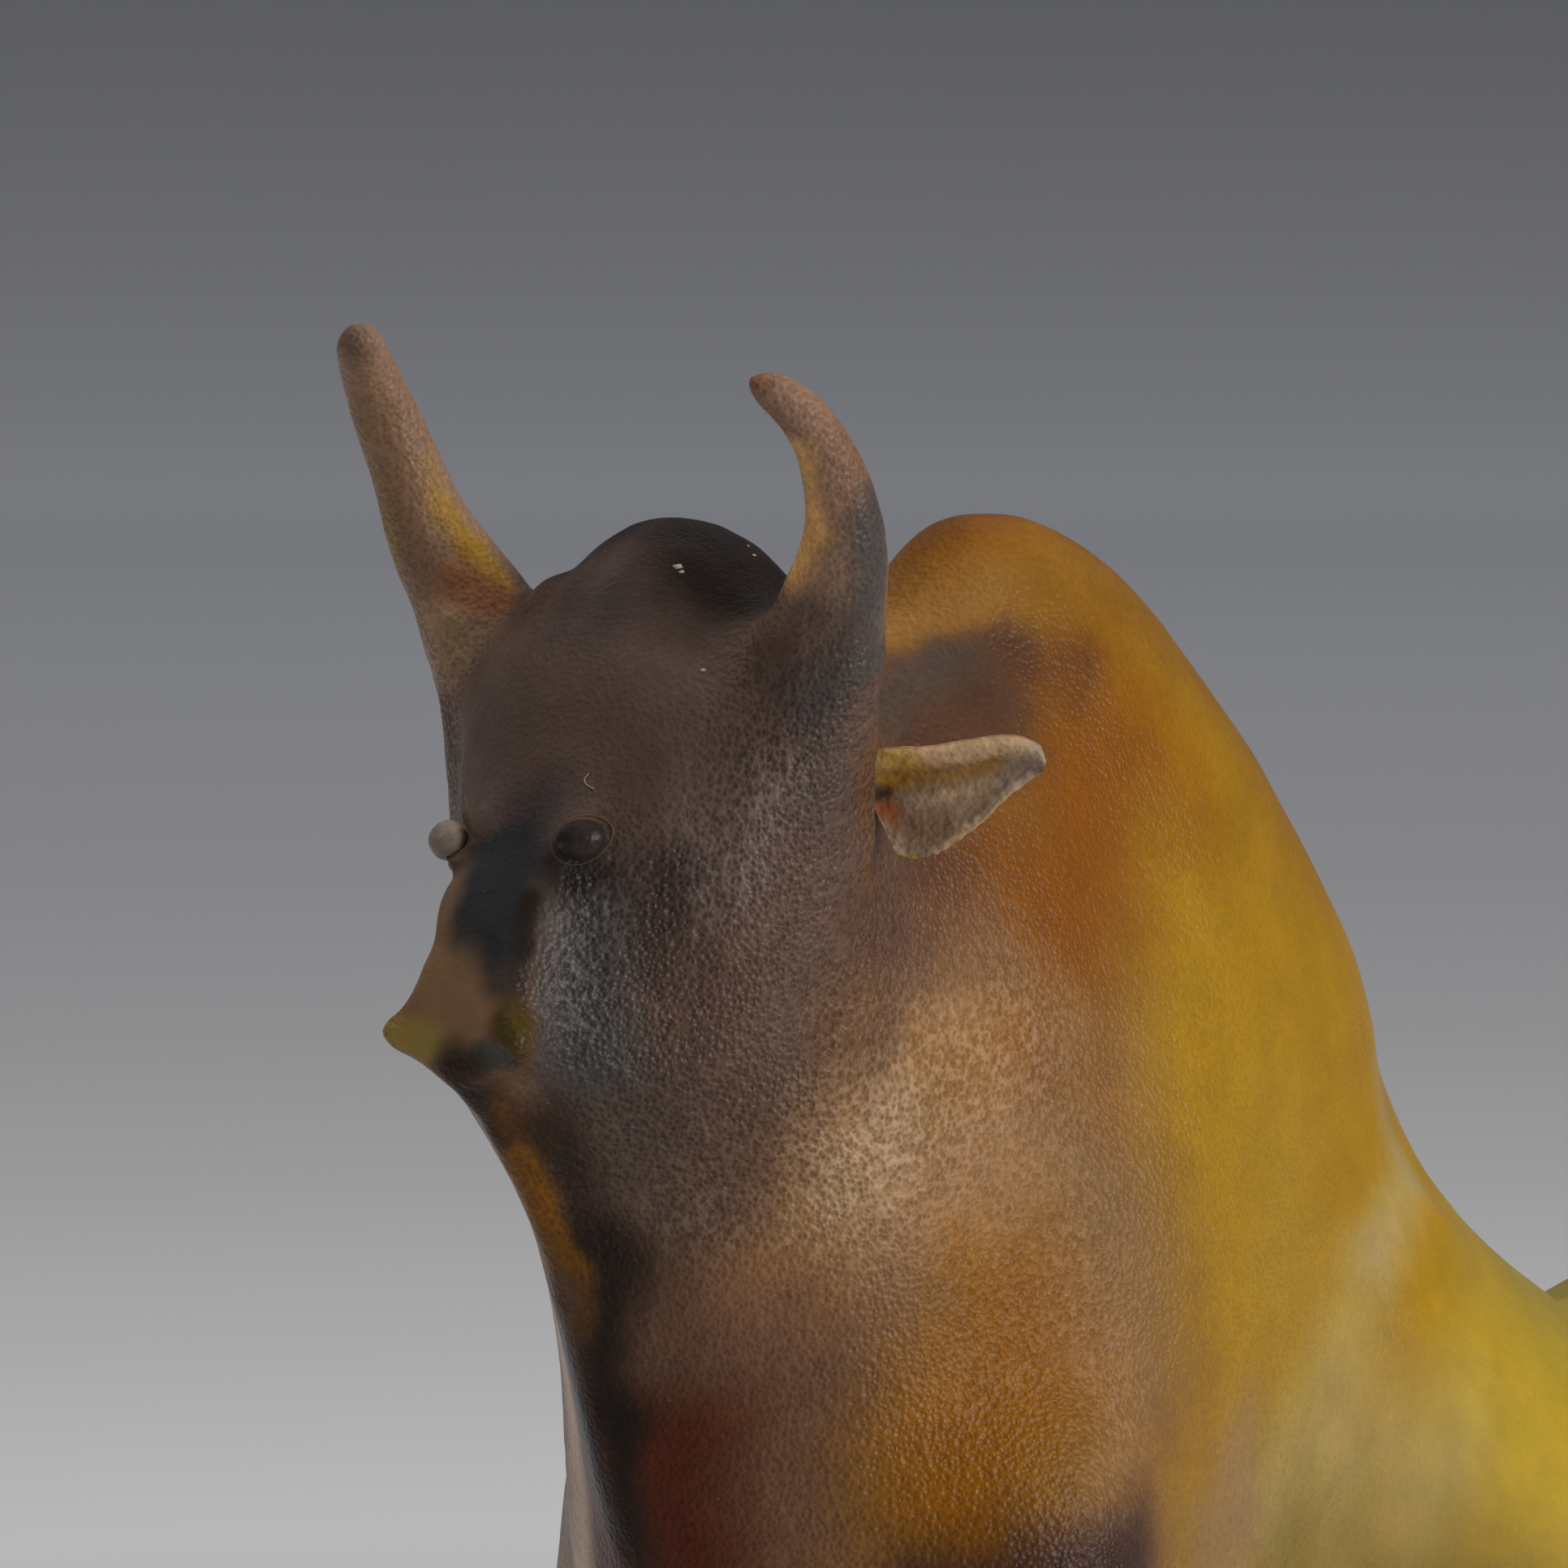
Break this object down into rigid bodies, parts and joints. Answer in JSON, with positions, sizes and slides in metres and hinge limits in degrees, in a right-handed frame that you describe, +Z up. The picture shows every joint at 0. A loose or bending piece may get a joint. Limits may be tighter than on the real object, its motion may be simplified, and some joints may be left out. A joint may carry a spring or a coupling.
{
  "type": "glass bison figurine",
  "caption": "Hand-shaped satin glass figurine of a standing bison, with curved horns, small ears and a high humped back, that rests on its flat feet as a shelf ornament.",
  "frame": {"origin": "on the surface it stands on, under the middle of the figure's bounding box", "axes": "+X towards the nose, +Y to the animal's left, +Z up"},
  "size_m": [0.1458, 0.0472, 0.1251],
  "materials": {
    "satin_glass": "acid-satin with a fine pebbled skin; dense amber, brown and olive glass that light enters but nothing shows through"
  },
  "bodies": {
    "root": {"bison": "satin_glass"}
  },
  "joints": []
}
